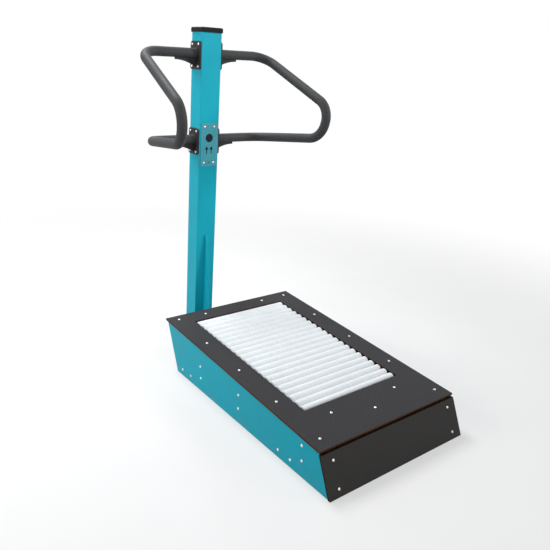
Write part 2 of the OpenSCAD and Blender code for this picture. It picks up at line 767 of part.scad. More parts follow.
// Flange with a curved gusset under the arm, at the arm's height z
module handle_bracket(z) translate([post_w / 2, post_y, z]) {
    difference() {
        translate([0, 0, -flange_drop]) rotate([90, 0, 90]) linear_extrude(flange_t)
            round_rect(flange_w, flange_h, flange_round);
        for (y = [-1, 1], k = [-1, 1])
            translate([0, y * bolt_y, k * bolt_z - flange_drop]) rotate([0, 90, 0])
                screw_hole(screw_d, flange_t + over);
        for (y = [-1, 1], k = [-1, 1])
            translate([flange_t, y * bolt_y, k * bolt_z - flange_drop]) rotate([0, 90, 0])
                screw_hole(screw_d, flange_t + over);
    }
    difference() {
        block([flange_t, -gusset_t / 2, -flange_h / 2 - flange_drop + flange_round],
              [flange_t + gusset_reach, gusset_t / 2, 0]);
        translate([flange_t + gusset_reach, 0, -bar_d / 2 - gusset_tip - gusset_curve]) rotate([90, 0, 0])
            cylinder(r = gusset_curve, h = gusset_t + 2 * over, center = true, $fn = 256);
        rotate([0, 90, 0]) cylinder(d = bar_d, h = flange_t + gusset_reach + over);
        block([flange_t - over, -gusset_t, -bar_d / 4], [flange_t + gusset_reach + over, gusset_t, over]);
    }
}
module handle_brackets() on_ground() for (z = [bar_top_z, bar_low_z]) handle_bracket(z);
module right_handle_brackets() color(dark_grey) handle_brackets();
module left_handle_brackets() color(dark_grey) left() handle_brackets();

module handle_bolts() color(stainless) on_ground() mirror_copy() handle_bolt_places()
    translate([0, 0, flange_t]) button_screw(screw_d, screw_head, screw_head_h, flange_t + bolt_grip);

// Instruction plate
module instruction_plate() color(plate_teal) on_ground() difference() {
    translate([0, post_face_y, sign_z]) rotate([90, 0, 0]) linear_extrude(sign_t) round_rect(sign_w, sign_h, sign_round);
    for (s = [-1, 1], k = [-1, 1])
        translate([s * rivet_x, post_face_y - sign_t, sign_z + k * rivet_z]) rotate([90, 0, 0])
            screw_hole(rivet_d, sign_t + over);
}
module plate_rivets() color(stainless) on_ground()
    for (s = [-1, 1], k = [-1, 1])
        translate([s * rivet_x, post_face_y - sign_t, sign_z + k * rivet_z]) rotate([90, 0, 0])
            button_screw(rivet_d, rivet_head, rivet_head_h, rivet_l);

deck_board();
rear_panel();
front_panel();
left_panel();
right_panel();
left_side_frame();
right_side_frame();
rear_cross_rail();
front_cross_angle();
ground_cross_tubes();
spine_beam();
left_roller_rail();
right_roller_rail();
roller_axles();
axle_clips();
roller(0);  // roller_01
roller(1);  // roller_02
roller(2);  // roller_03
roller(3);  // roller_04
roller(4);  // roller_05
roller(5);  // roller_06
roller(6);  // roller_07
roller(7);  // roller_08
roller(8);  // roller_09
roller(9);  // roller_10
roller(10);  // roller_11
roller(11);  // roller_12
roller(12);  // roller_13
roller(13);  // roller_14
roller(14);  // roller_15
roller(15);  // roller_16
roller(16);  // roller_17
roller(17);  // roller_18
roller(18);  // roller_19
roller(19);  // roller_20
roller(20);  // roller_21
post();
post_cap();
post_web();
foot_plate();
left_handlebar();
right_handlebar();
left_handle_brackets();
right_handle_brackets();
handle_bolts();
instruction_plate();
plate_rivets();
deck_screws();
left_panel_screws();
right_panel_screws();
rear_panel_screws();
front_panel_screws();
roller_rail_screws();
link_bolts();
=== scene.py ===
"""Looks of the outdoor cardio roller: finishes, screws, welds, plate signs, light and camera."""
import math

import bpy
from mathutils import Matrix, Vector


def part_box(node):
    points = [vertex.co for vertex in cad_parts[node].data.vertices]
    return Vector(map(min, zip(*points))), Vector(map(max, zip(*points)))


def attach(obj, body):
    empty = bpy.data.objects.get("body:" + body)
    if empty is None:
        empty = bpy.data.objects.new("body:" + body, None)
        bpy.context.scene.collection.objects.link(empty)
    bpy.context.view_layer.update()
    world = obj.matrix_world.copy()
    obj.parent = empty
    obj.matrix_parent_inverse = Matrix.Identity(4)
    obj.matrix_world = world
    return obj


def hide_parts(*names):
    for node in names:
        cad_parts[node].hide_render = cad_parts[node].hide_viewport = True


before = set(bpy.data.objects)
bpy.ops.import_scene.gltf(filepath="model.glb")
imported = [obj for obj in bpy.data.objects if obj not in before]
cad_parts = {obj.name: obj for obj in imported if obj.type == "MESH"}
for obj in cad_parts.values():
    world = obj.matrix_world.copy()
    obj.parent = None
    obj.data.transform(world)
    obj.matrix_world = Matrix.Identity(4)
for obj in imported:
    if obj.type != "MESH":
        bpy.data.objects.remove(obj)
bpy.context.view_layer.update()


# Sizes and places of the machine, in metres, as the frame has them

DECK_RISE = math.radians(3.6)
WALL_LEAN = math.radians(24.5)
DECK_LENGTH = 1.180
DECK_REAR_Y = -0.7754154
DECK_REAR_Z = 0.176
FRONT_WALL_IN = 0.014
SIDE_X = 0.397
POST_Y = 0.7202561
POST_DEPTH = 0.100
PLATE_THICKNESS = 0.003
PLATE_FACE_Y = POST_Y - POST_DEPTH / 2 - PLATE_THICKNESS
ARM_HEIGHTS = (1.549, 1.111)
ARM_RADIUS = 0.02415
FLANGE_FACE_X = 0.068
FIRST_ROLLER = 0.245
ROLLER_PITCH = 0.041
ROLLER_DROP = 0.017
ROLLERS = [f"roller_{i:02d}" for i in range(1, 22)]
SIDES = (-1, 1)


# Places on the machine

def on_slope(x, along, up=0.0):
    """A point given across, along the deck's slope from its rear edge, and above its top."""
    return Vector((x,
                   DECK_REAR_Y + along * math.cos(DECK_RISE) - up * math.sin(DECK_RISE),
                   DECK_REAR_Z + along * math.sin(DECK_RISE) + up * math.cos(DECK_RISE)))


def on_rear_wall(x, z):
    """A point on the outer face of the rear board."""
    return Vector((x, DECK_REAR_Y - (DECK_REAR_Z - z) * math.tan(WALL_LEAN), z))


def on_front_wall(x, z):
    """A point on the outer face of the front board, which leans the same way."""
    top = on_slope(0, DECK_LENGTH)
    return Vector((x, top.y - FRONT_WALL_IN - (top.z - z) * math.tan(WALL_LEAN), z))


DECK_NORMAL = Vector((0, -math.sin(DECK_RISE), math.cos(DECK_RISE)))
WALL_NORMAL = Vector((0, -math.cos(WALL_LEAN), math.sin(WALL_LEAN)))


# Shader node helpers

NUMBER, COLOUR, VECTOR = "NodeSocketFloat", "NodeSocketColor", "NodeSocketVector"


def link(tree, source, socket):
    tree.links.new(source, socket)


def set_or_link(tree, value, socket):
    if isinstance(value, bpy.types.NodeSocket):
        link(tree, value, socket)
    else:
        socket.default_value = value


def math_node(tree, operation, a, b=0.0):
    node = tree.nodes.new("ShaderNodeMath")
    node.operation = operation
    set_or_link(tree, a, node.inputs[0])
    set_or_link(tree, b, node.inputs[1])
    return node.outputs[0]


def plus(tree, a, b):
    return math_node(tree, "ADD", a, b)


def minus(tree, a, b):
    return math_node(tree, "SUBTRACT", a, b)


def times(tree, a, b):
    return math_node(tree, "MULTIPLY", a, b)


def larger(tree, a, b):
    return math_node(tree, "MAXIMUM", a, b)


def absolute(tree, value):
    return math_node(tree, "ABSOLUTE", value)


def smooth(tree, value, low, high, to_low=0.0, to_high=1.0):
    """A soft step of the value from low to high."""
    node = tree.nodes.new("ShaderNodeMapRange")
    node.interpolation_type = "SMOOTHSTEP"
    set_or_link(tree, value, node.inputs["Value"])
    node.inputs["From Min"].default_value = low
    node.inputs["From Max"].default_value = high
    node.inputs["To Min"].default_value = to_low
    node.inputs["To Max"].default_value = to_high
    return node.outputs["Result"]


def mix_colour(tree, share_of_b, a, b):
    node = tree.nodes.new("ShaderNodeMix")
    node.data_type = "RGBA"
    set_or_link(tree, share_of_b, node.inputs["Factor"])
    set_or_link(tree, a, node.inputs["A"])
    set_or_link(tree, b, node.inputs["B"])
    return node.outputs["Result"]


def noise(tree, place, scale, detail, roughness=0.5):
    node = tree.nodes.new("ShaderNodeTexNoise")
    link(tree, place, node.inputs["Vector"])
    set_or_link(tree, scale, node.inputs["Scale"])
    node.inputs["Detail"].default_value = detail
    node.inputs["Roughness"].default_value = roughness
    return node.outputs["Fac"]


def stretched_noise(tree, place, scales, detail, roughness=0.5):
    """Noise with its own scale along each axis."""
    node = tree.nodes.new("ShaderNodeMapping")
    link(tree, place, node.inputs["Vector"])
    node.inputs["Scale"].default_value = scales
    return noise(tree, node.outputs["Vector"], 1.0, detail, roughness)


def parts_of(tree, vector):
    node = tree.nodes.new("ShaderNodeSeparateXYZ")
    link(tree, vector, node.inputs[0])
    return node.outputs


def dot_with(tree, vector, direction):
    node = tree.nodes.new("ShaderNodeVectorMath")
    node.operation = "DOT_PRODUCT"
    link(tree, vector, node.inputs[0])
    node.inputs[1].default_value = direction
    return node.outputs["Value"]


def object_place(tree):
    return tree.nodes.new("ShaderNodeTexCoord").outputs["Object"]


def object_normal(tree):
    return tree.nodes.new("ShaderNodeTexCoord").outputs["Normal"]


def seen_in_picture(tree):
    """1 for the camera's own rays and for those that a glossy face sends on, else 0."""
    path = tree.nodes.new("ShaderNodeLightPath").outputs
    return larger(tree, path["Is Camera Ray"], path["Is Glossy Ray"])


def new_group(name, inputs):
    """An effect that finishes share: it gives their colour, roughness and height."""
    group = bpy.data.node_groups.new(name, "ShaderNodeTree")
    for label, kind in inputs.items():
        group.interface.new_socket(label, in_out="INPUT", socket_type=kind)
    for label, kind in (("Colour", COLOUR), ("Roughness", NUMBER), ("Height", NUMBER)):
        group.interface.new_socket(label, in_out="OUTPUT", socket_type=kind)
    given = group.nodes.new("NodeGroupInput").outputs
    return group, given, group.nodes.new("NodeGroupOutput").inputs


def use_group(tree, group, **values):
    node = tree.nodes.new("ShaderNodeGroup")
    node.node_tree = group
    for label, value in values.items():
        set_or_link(tree, value, node.inputs[label.replace("_", " ")])
    return node.outputs


def new_material(name, roughness=0.5, metallic=0.0, specular=0.5):
    material = bpy.data.materials.new(name)
    material.use_nodes = True
    tree = material.node_tree
    tree.nodes.clear()
    shader = tree.nodes.new("ShaderNodeBsdfPrincipled")
    out = tree.nodes.new("ShaderNodeOutputMaterial")
    link(tree, shader.outputs[0], out.inputs["Surface"])
    shader.inputs["Roughness"].default_value = roughness
    shader.inputs["Metallic"].default_value = metallic
    shader.inputs["Specular IOR Level"].default_value = specular
    return material, tree, shader


def bump(tree, shader, height, distance):
    node = tree.nodes.new("ShaderNodeBump")
    node.inputs["Distance"].default_value = distance
    link(tree, height, node.inputs["Height"])
    link(tree, node.outputs["Normal"], shader.inputs["Normal"])


def dress(tree, shader, effect, relief):
    """Gives a shader what a shared effect puts out, with the relief's depth in metres."""
    link(tree, effect["Colour"], shader.inputs["Base Color"])
    link(tree, effect["Roughness"], shader.inputs["Roughness"])
    bump(tree, shader, effect["Height"], relief)


# Effects that several finishes share

def make_powder_coat():
    """Sprayed and baked paint: a fine orange peel, faint clouding and dust that settles low."""
    tree, given, out = new_group("powder coat", {
        "Place": VECTOR, "Paint": COLOUR, "Dust": COLOUR, "Dust amount": NUMBER, "Gloss": NUMBER})
    place = given["Place"]
    clouds = noise(tree, place, scale=5.0, detail=4.0)
    paint = tree.nodes.new("ShaderNodeVectorMath")
    paint.operation = "SCALE"
    link(tree, given["Paint"], paint.inputs[0])
    clouding = smooth(tree, clouds, low=0.25, high=0.75, to_low=0.95, to_high=1.04)
    link(tree, clouding, paint.inputs["Scale"])

    near_ground = smooth(tree, parts_of(tree, place)["Z"], low=0.09, high=0.0)
    patches = noise(tree, place, scale=22.0, detail=5.0, roughness=0.65)
    settled = times(tree, near_ground, smooth(tree, patches, low=0.42, high=0.72))
    dust = times(tree, settled, given["Dust amount"])
    link(tree, mix_colour(tree, dust, paint.outputs[0], given["Dust"]), out["Colour"])

    dulled, dust_dulled = 0.08, 0.4
    worn = times(tree, smooth(tree, clouds, low=0.35, high=0.7), dulled)
    rough = plus(tree, given["Gloss"], worn)
    link(tree, plus(tree, rough, times(tree, dust, dust_dulled)), out["Roughness"])

    speck_share = 0.35
    specks = noise(tree, place, scale=420.0, detail=2.0)
    orange_peel = noise(tree, place, scale=260.0, detail=1.0)
    link(tree, plus(tree, orange_peel, times(tree, specks, speck_share)), out["Height"])
    return tree


def make_laminate():
    """Compact laminate board: black film faces with a pressed wire mesh, and a rust-brown core
    under a thin dark skin at the edges.
    Below the depth Brown to the edges are painted near-black, for the lower skin and as painted
    shade."""
    tree, given, out = new_group("laminate board", {
        "Place": VECTOR, "Across": NUMBER, "Along": NUMBER, "Depth": NUMBER, "Facing": NUMBER,
        "Film": COLOUR, "Wire": COLOUR, "Brown to": NUMBER})
    place = given["Place"]
    wire_pitch = 0.0148

    def wires(course):
        """1 on a wire, 0 between two; the course is a distance across the wires."""
        from_wire = math_node(tree, "PINGPONG", times(tree, course, 1 / wire_pitch), 0.5)
        return smooth(tree, from_wire, low=0.34, high=0.06)

    mesh = larger(tree, wires(plus(tree, given["Across"], given["Along"])),
                  wires(minus(tree, given["Across"], given["Along"])))
    on_face = smooth(tree, given["Facing"], low=0.6, high=0.8)

    wire_share, dust_share, grit_share = 0.42, 0.05, 0.10
    dust_tone, grit_tone = (0.16, 0.15, 0.14, 1), (0.012, 0.012, 0.013, 1)
    patches = noise(tree, place, scale=9.0, detail=5.0, roughness=0.6)
    dusty = smooth(tree, patches, low=0.35, high=0.75)
    grit = noise(tree, place, scale=1400.0, detail=2.0)
    film = mix_colour(tree, times(tree, mesh, wire_share), given["Film"], given["Wire"])
    film = mix_colour(tree, times(tree, dusty, dust_share), film, dust_tone)
    film = mix_colour(tree, times(tree, grit, grit_share), film, grit_tone)

    dark_brown, rust_brown = (0.085, 0.029, 0.010, 1), (0.165, 0.062, 0.022, 1)
    # This near-black is the skin's tone and painted shade: edges are painted in it below the depth
    # Brown to
    skin_and_shade_tone = (0.004, 0.0035, 0.003, 1)
    layers = stretched_noise(tree, place, (6.0, 6.0, 700.0), detail=2.0)
    core = mix_colour(tree, smooth(tree, layers, low=0.3, high=0.7), dark_brown, rust_brown)
    below_skin = smooth(tree, given["Depth"], low=0.0005, high=0.0010)
    above_skin_and_shade = smooth(tree, minus(tree, given["Brown to"], given["Depth"]), low=0.0, high=0.0006)
    edge = mix_colour(tree, times(tree, below_skin, above_skin_and_shade), skin_and_shade_tone, core)
    link(tree, mix_colour(tree, on_face, edge, film), out["Colour"])

    film_rough, dust_rough, sawn_rough = 0.50, 0.12, 0.2
    rough = plus(tree, film_rough, times(tree, dusty, dust_rough))
    sawn = times(tree, minus(tree, 1.0, on_face), sawn_rough)
    link(tree, plus(tree, rough, sawn), out["Roughness"])

    grain_share = 0.18
    grain = noise(tree, place, scale=900.0, detail=2.0)
    pressed = times(tree, mesh, on_face)
    link(tree, plus(tree, pressed, times(tree, grain, grain_share)), out["Height"])
    return tree


def make_bare_metal():
    """Bare metal: fine scratches in every direction, and a dull bloom in patches."""
    tree, given, out = new_group("bare metal", {
        "Place": VECTOR, "Bright": COLOUR, "Dull": COLOUR, "Gloss": NUMBER, "Grain": NUMBER})
    dulled = 0.18
    patches = noise(tree, given["Place"], scale=30.0, detail=4.0, roughness=0.6)
    bloom = smooth(tree, patches, low=0.4, high=0.65)
    link(tree, mix_colour(tree, bloom, given["Bright"], given["Dull"]), out["Colour"])
    link(tree, plus(tree, given["Gloss"], times(tree, bloom, dulled)), out["Roughness"])
    link(tree, noise(tree, given["Place"], given["Grain"], detail=2.0), out["Height"])
    return tree


def make_moulded_plastic():
    """Moulded plastic: a fine grain, and patches that the sun has bleached."""
    tree, given, out = new_group("moulded plastic", {
        "Place": VECTOR, "Tone": COLOUR, "Bleached": COLOUR, "Gloss": NUMBER})
    bleach_share, grain_rough = 0.5, 0.15
    grain = noise(tree, given["Place"], scale=700.0, detail=3.0, roughness=0.6)
    patches = noise(tree, given["Place"], scale=14.0, detail=4.0)
    bleached = times(tree, smooth(tree, patches, low=0.4, high=0.75), bleach_share)
    link(tree, mix_colour(tree, bleached, given["Tone"], given["Bleached"]), out["Colour"])
    link(tree, plus(tree, given["Gloss"], times(tree, grain, grain_rough)), out["Roughness"])
    link(tree, grain, out["Height"])
    return tree


powder_coat = make_powder_coat()
laminate = make_laminate()
bare_metal = make_bare_metal()
plastic_grain = make_moulded_plastic()


# Finishes

GROUND_DUST = (0.30, 0.29, 0.26, 1)
BOARD_RELIEF = 0.00035
PLASTIC_RELIEF = 0.00008


def painted(name, paint, dust_amount=0.0, gloss=0.40, peel=0.00004, specular=0.18):
    """Powder coat, with its orange peel's depth in metres."""
    material, tree, shader = new_material(name, specular=specular)
    effect = use_group(tree, powder_coat, Place=object_place(tree), Paint=paint,
                       Dust=GROUND_DUST, Dust_amount=dust_amount, Gloss=gloss)
    dress(tree, shader, effect, peel)
    return material


def shade_in_opening(tree, place, brown_to, opening):
    """How deep edges look brown: those of the roller opening are brown only at their arris, with
    painted shade below it.
    """
    half_width, start_y, end_y, brown_arris = opening
    parts = parts_of(tree, place)
    inside = math_node(tree, "LESS_THAN", absolute(tree, parts["X"]), half_width)
    inside = times(tree, inside, math_node(tree, "GREATER_THAN", parts["Y"], start_y))
    inside = times(tree, inside, math_node(tree, "LESS_THAN", parts["Y"], end_y))
    return minus(tree, brown_to, times(tree, inside, brown_to - brown_arris))


def board(name, normal, point, film, wire, brown_to, opening=None):
    """A laminate board, given its outer face's normal, a point on that face, the tones of its
    film and of the wires pressed into it, and how deep its edges look brown; below that they are
    painted near-black, partly as painted shade."""
    material, tree, shader = new_material(name, specular=0.12)
    place = object_place(tree)
    if opening:
        brown_to = shade_in_opening(tree, place, brown_to, opening)
    effect = use_group(
        tree, laminate, Place=place, Film=film, Wire=wire, Brown_to=brown_to,
        Across=dot_with(tree, place, (1, 0, 0)),
        Along=dot_with(tree, place, Vector((1, 0, 0)).cross(normal)),
        Depth=minus(tree, normal.dot(point), dot_with(tree, place, normal)),
        Facing=absolute(tree, dot_with(tree, object_normal(tree), normal)))
    dress(tree, shader, effect, BOARD_RELIEF)
    return material


def metal(name, bright, dull, gloss, grain, scratches):
    """Bare metal, with its grain per metre and its scratches' depth in metres."""
    material, tree, shader = new_material(name, metallic=1.0)
    effect = use_group(tree, bare_metal, Place=object_place(tree), Bright=bright, Dull=dull,
                       Gloss=gloss, Grain=grain)
    dress(tree, shader, effect, scratches)
    return material


def moulded_plastic(name, tone, bleached, gloss, specular=0.25):
    material, tree, shader = new_material(name, specular=specular)
    effect = use_group(tree, plastic_grain, Place=object_place(tree), Tone=tone,
                       Bleached=bleached, Gloss=gloss)
    dress(tree, shader, effect, PLASTIC_RELIEF)
    return material


def galvanised_steel():
    """Hot-dip zinc: grey crystals of different tone and pale stains. The part of the frame that is
    near the deck is painted near-black, dull and not metallic: painted shade."""
    dark_crystal, pale_crystal = (0.30, 0.31, 0.32, 1), (0.50, 0.52, 0.53, 1)
    stain_tone, stain_share = (0.62, 0.62, 0.60, 1), 0.5
    painted_shade_tone, painted_shade_rough = (0.012, 0.012, 0.013, 1), 0.9
    zinc_metallic, zinc_relief = 0.85, 0.00008
    material, tree, shader = new_material("galvanised steel")
    place = object_place(tree)
    crystals = tree.nodes.new("ShaderNodeTexVoronoi")
    crystals.inputs["Scale"].default_value = 70.0
    link(tree, place, crystals.inputs["Vector"])
    chance = tree.nodes.new("ShaderNodeSeparateColor")
    link(tree, crystals.outputs["Color"], chance.inputs[0])

    tone = mix_colour(tree, chance.outputs[0], dark_crystal, pale_crystal)
    patches = noise(tree, place, scale=12.0, detail=5.0, roughness=0.6)
    stain = times(tree, smooth(tree, patches, low=0.45, high=0.8), stain_share)
    tone = mix_colour(tree, stain, tone, stain_tone)
    # Painted shade: above this height the zinc is painted near-black, dull and not metallic
    painted_shade = smooth(tree, parts_of(tree, place)["Z"], low=0.13, high=0.15)
    link(tree, mix_colour(tree, painted_shade, tone, painted_shade_tone), shader.inputs["Base Color"])
    unshaded = minus(tree, 1.0, painted_shade)
    link(tree, times(tree, unshaded, zinc_metallic), shader.inputs["Metallic"])
    rough = smooth(tree, chance.outputs[1], low=0.0, high=1.0, to_low=0.38, to_high=0.58)
    link(tree, larger(tree, rough, times(tree, painted_shade, painted_shade_rough)), shader.inputs["Roughness"])
    bump(tree, shader, noise(tree, place, scale=160.0, detail=2.0), zinc_relief)
    return material


def distance_from_axis(tree, place):
    """How far a point is from the nearest roller's axis, seen along the rollers."""
    slope_way = Vector((0, math.cos(DECK_RISE), math.sin(DECK_RISE)))
    first_axis = on_slope(0, FIRST_ROLLER, -ROLLER_DROP)
    first_cell = first_axis.dot(slope_way) - ROLLER_PITCH / 2
    along = minus(tree, dot_with(tree, place, slope_way), first_cell)
    in_cell = math_node(tree, "FLOORED_MODULO", along, ROLLER_PITCH)
    beside = minus(tree, in_cell, ROLLER_PITCH / 2)
    above = minus(tree, dot_with(tree, place, DECK_NORMAL), first_axis.dot(DECK_NORMAL))
    squares = plus(tree, times(tree, beside, beside), times(tree, above, above))
    return math_node(tree, "SQRT", squares)


def roller_coat():
    """Pale baked coat of the rollers, scuffed where they are walked on and painted darker near
    their ends as painted shade, with grooved rubber seals and bright bearing bores in their ends."""
    pale_tones = (0.82, 0.865, 0.885, 1), (0.885, 0.91, 0.925, 1)
    scuff_tone, scuff_share = (0.46, 0.48, 0.50, 1), 0.16
    shaded_end_tone, shaded_end_share = (0.34, 0.34, 0.34, 1), 0.35
    rubber_tones = (0.010, 0.010, 0.011, 1), (0.035, 0.035, 0.036, 1)
    bore_tone = (0.30, 0.30, 0.31, 1)
    coat_rough, band_rough = 0.36, 0.08
    grain_share, coat_relief = 0.2, 0.0002

    material, tree, shader = new_material("pale roller coat", specular=0.25)
    place = object_place(tree)
    from_middle = absolute(tree, parts_of(tree, place)["X"])
    radius = distance_from_axis(tree, place)
    seal = smooth(tree, radius, low=0.01205, high=0.01190)
    bore = smooth(tree, radius, low=0.0068, high=0.0062)
    groove_width = 0.0011
    from_groove = math_node(tree, "PINGPONG", radius, groove_width)
    grooves = smooth(tree, from_groove, low=0.0002, high=0.0009)

    turned = stretched_noise(tree, place, (160.0, 5.0, 5.0), detail=3.0)
    bands = smooth(tree, turned, low=0.3, high=0.7)
    rubbed = stretched_noise(tree, place, (30.0, 150.0, 150.0), detail=4.0, roughness=0.7)
    walked_on = smooth(tree, from_middle, low=0.25, high=0.12)
    scuffs = times(tree, smooth(tree, rubbed, low=0.56, high=0.72), walked_on)
    # Painted shade: the coat is painted darker near the rollers' ends
    shaded_ends = smooth(tree, from_middle, low=0.268, high=0.276)
    tone = mix_colour(tree, bands, *pale_tones)
    tone = mix_colour(tree, times(tree, scuffs, scuff_share), tone, scuff_tone)
    tone = mix_colour(tree, times(tree, shaded_ends, shaded_end_share), tone, shaded_end_tone)
    seal_tone = mix_colour(tree, bore, mix_colour(tree, grooves, *rubber_tones), bore_tone)
    link(tree, mix_colour(tree, seal, tone, seal_tone), shader.inputs["Base Color"])
    rough = plus(tree, coat_rough, times(tree, bands, band_rough))
    link(tree, rough, shader.inputs["Roughness"])
    link(tree, times(tree, seal, bore), shader.inputs["Metallic"])
    grain = times(tree, noise(tree, place, scale=300.0, detail=2.0), grain_share)
    bump(tree, shader, plus(tree, grain, times(tree, seal, grooves)), coat_relief)
    return material


teal_paint = painted("teal powder coat", (0.006, 0.410, 0.530, 1), dust_amount=0.12)
grey_paint = painted("dark grey powder coat", (0.051, 0.052, 0.054, 1),
                     gloss=0.56, peel=0.000015, specular=0.14)
# Painted shade: the brackets and arm welds have the handlebars' dark grey paint, painted darker to
# stand in for shade on them
shaded_grey_paint = painted("dark grey powder coat with painted shade", (0.027, 0.027, 0.028, 1),
                        gloss=0.46, specular=0.15)

# A region with the roller opening's edges in it and the board's outer edges not: half its width,
# where it starts and ends, and how deep the edges in it look brown; below that they are painted in
# shade
ROLLER_OPENING = (0.30, on_slope(0, 0.15).y, on_slope(0, 1.12).y, 0.0024)
DECK_FILM, DECK_WIRE = (0.027, 0.027, 0.030, 1), (0.058, 0.057, 0.061, 1)
# Painted light: the wall boards are the deck's laminate, painted lighter to stand in for light
# their leaning faces don't get
LIGHTENED_WALL_FILM, LIGHTENED_WALL_WIRE = (0.050, 0.049, 0.048, 1), (0.086, 0.076, 0.069, 1)
deck_board_finish = board("black deck board", DECK_NORMAL, on_slope(0, 0), DECK_FILM, DECK_WIRE,
                          brown_to=0.0082, opening=ROLLER_OPENING)
# Painted shade: the wall boards' edges are brown only 3 mm deep and painted near-black below, as in
# the shade under the deck
rear_board_finish = board("black rear board", WALL_NORMAL, on_rear_wall(0, 0.1),
                          LIGHTENED_WALL_FILM, LIGHTENED_WALL_WIRE, brown_to=0.0030)
front_board_finish = board("black front board", -WALL_NORMAL, on_front_wall(0, 0.1),
                           LIGHTENED_WALL_FILM, LIGHTENED_WALL_WIRE, brown_to=0.0030)

zinc_steel = galvanised_steel()
axle_steel = metal("drawn axle steel", (0.56, 0.57, 0.58, 1), (0.36, 0.36, 0.36, 1),
                   gloss=0.30, grain=500.0, scratches=0.00003)
stainless = metal("stainless screw steel", (0.90, 0.89, 0.87, 1), (0.74, 0.72, 0.69, 1),
                  gloss=0.30, grain=900.0, scratches=0.00001)
rivet_steel = metal("warm rivet steel", (0.92, 0.78, 0.66, 1), (0.78, 0.62, 0.50, 1),
                    gloss=0.32, grain=900.0, scratches=0.00001)
pale_rollers = roller_coat()

cap_plastic = moulded_plastic("black cap plastic", (0.008, 0.008, 0.009, 1),
                              (0.015, 0.015, 0.016, 1), gloss=0.55, specular=0.12)
sign_plastic = moulded_plastic("grey-teal plate", (0.060, 0.340, 0.405, 1),
                               (0.078, 0.360, 0.425, 1), gloss=0.38)
sign_ink = moulded_plastic("dark plate ink", (0.006, 0.010, 0.012, 1),
                           (0.013, 0.019, 0.022, 1), gloss=0.50, specular=0.15)
sign_edge = moulded_plastic("pale plate border", (0.30, 0.34, 0.345, 1),
                            (0.38, 0.41, 0.41, 1), gloss=0.40)

FINISHES = {
    "deck_board": deck_board_finish,
    "rear_panel": rear_board_finish, "front_panel": front_board_finish,
    "left_panel": teal_paint, "right_panel": teal_paint,
    "post": teal_paint, "post_web": teal_paint, "foot_plate": teal_paint,
    "post_cap": cap_plastic, "instruction_plate": sign_plastic, "plate_rivets": rivet_steel,
    "left_handlebar": grey_paint, "right_handlebar": grey_paint,
    "left_handle_brackets": shaded_grey_paint, "right_handle_brackets": shaded_grey_paint,
    "roller_axles": axle_steel, "axle_clips": axle_steel,
    **{name: pale_rollers for name in ROLLERS},
}
for name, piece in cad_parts.items():
    fastener = name.endswith(("screws", "bolts"))
    piece.data.materials.clear()
    piece.data.materials.append(FINISHES.get(name, stainless if fastener else zinc_steel))


# Modelling helpers

def deselect():
    if bpy.context.object and bpy.context.object.mode != "OBJECT":
        bpy.ops.object.mode_set(mode="OBJECT")
    bpy.ops.object.select_all(action="DESELECT")


def only(piece):
    deselect()
    piece.select_set(True)
    bpy.context.view_layer.objects.active = piece


def settle(piece):
    """Puts the object's place into its mesh."""
    only(piece)
    bpy.ops.object.transform_apply(location=True, rotation=True, scale=True)


def join(pieces, name):
    """Makes the pieces one, under that name."""
    deselect()
    for piece in pieces:
        piece.select_set(True)
    bpy.context.view_layer.objects.active = pieces[0]
    if len(pieces) > 1:
        bpy.ops.object.join()
    pieces[0].name = name
    pieces[0].data.name = name
    return pieces[0]


def pick(piece, kind, test):
    """Goes into edit mode with those points or edges selected whose points all pass the test."""
    only(piece)
    bpy.ops.object.mode_set(mode="EDIT")
    bpy.ops.mesh.select_mode(type=kind)
    bpy.ops.mesh.select_all(action="DESELECT")
    bpy.ops.object.mode_set(mode="OBJECT")
    mesh = piece.data
    for part in mesh.vertices if kind == "VERT" else mesh.edges:
        points = [part.index] if kind == "VERT" else part.vertices
        part.select = all(test(mesh.vertices[v].co) for v in points)
    bpy.ops.object.mode_set(mode="EDIT")


def face_outwards():
    """Turns every face outwards and leaves edit mode."""
    bpy.ops.mesh.select_all(action="SELECT")
    bpy.ops.mesh.normals_make_consistent(inside=False)
    bpy.ops.object.mode_set(mode="OBJECT")


def cut_with(piece, tool):
    """Cuts the tool's shape out of the piece, and takes the tool away."""
    only(piece)
    cut = piece.modifiers.new("cut", "BOOLEAN")
    cut.operation = "DIFFERENCE"
    cut.object = tool
    bpy.ops.object.modifier_apply(modifier=cut.name)
    bpy.data.objects.remove(tool)


def finish_piece(piece, material, slot, *replaced):
    """Gives a piece its finish and its body, and hides the frame's pieces it replaces. Its slot is
    not used.
    """
    piece.data.materials.clear()
    piece.data.materials.append(material)
    only(piece)
    bpy.ops.object.shade_smooth_by_angle(angle=math.radians(35))
    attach(piece, "machine")
    if replaced:
        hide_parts(*replaced)


# Screws with a hexagon socket

def model_screw(name, length):
    """A button-head screw along +Z, with its seat at the origin: a rounded head with a hexagon
    socket on a plain shank."""
    head_radius, head_height, head_round = 0.00575, 0.0040, 0.0028
    key_radius, key_length, socket_floor = 0.0024, 0.004, 0.0014
    shank_radius, shank_into_head = 0.004, 0.0002
    deselect()
    bpy.ops.mesh.primitive_cylinder_add(vertices=28, radius=head_radius, depth=head_height,
                                        location=(0, 0, head_height / 2))
    head = bpy.context.object
    settle(head)
    pick(head, "EDGE", lambda co: co.z > head_height / 2)
    bpy.ops.mesh.bevel(offset=head_round, segments=5, profile=0.6, affect="EDGES")
    deselect()
    bpy.ops.mesh.primitive_cylinder_add(vertices=6, radius=key_radius, depth=key_length,
                                        location=(0, 0, socket_floor + key_length / 2))
    key = bpy.context.object
    settle(key)
    cut_with(head, key)
    deselect()
    bpy.ops.mesh.primitive_cylinder_add(vertices=16, radius=shank_radius, depth=length,
                                        location=(0, 0, shank_into_head - length / 2))
    shank = bpy.context.object
    settle(shank)
    return join([head, shank], name)


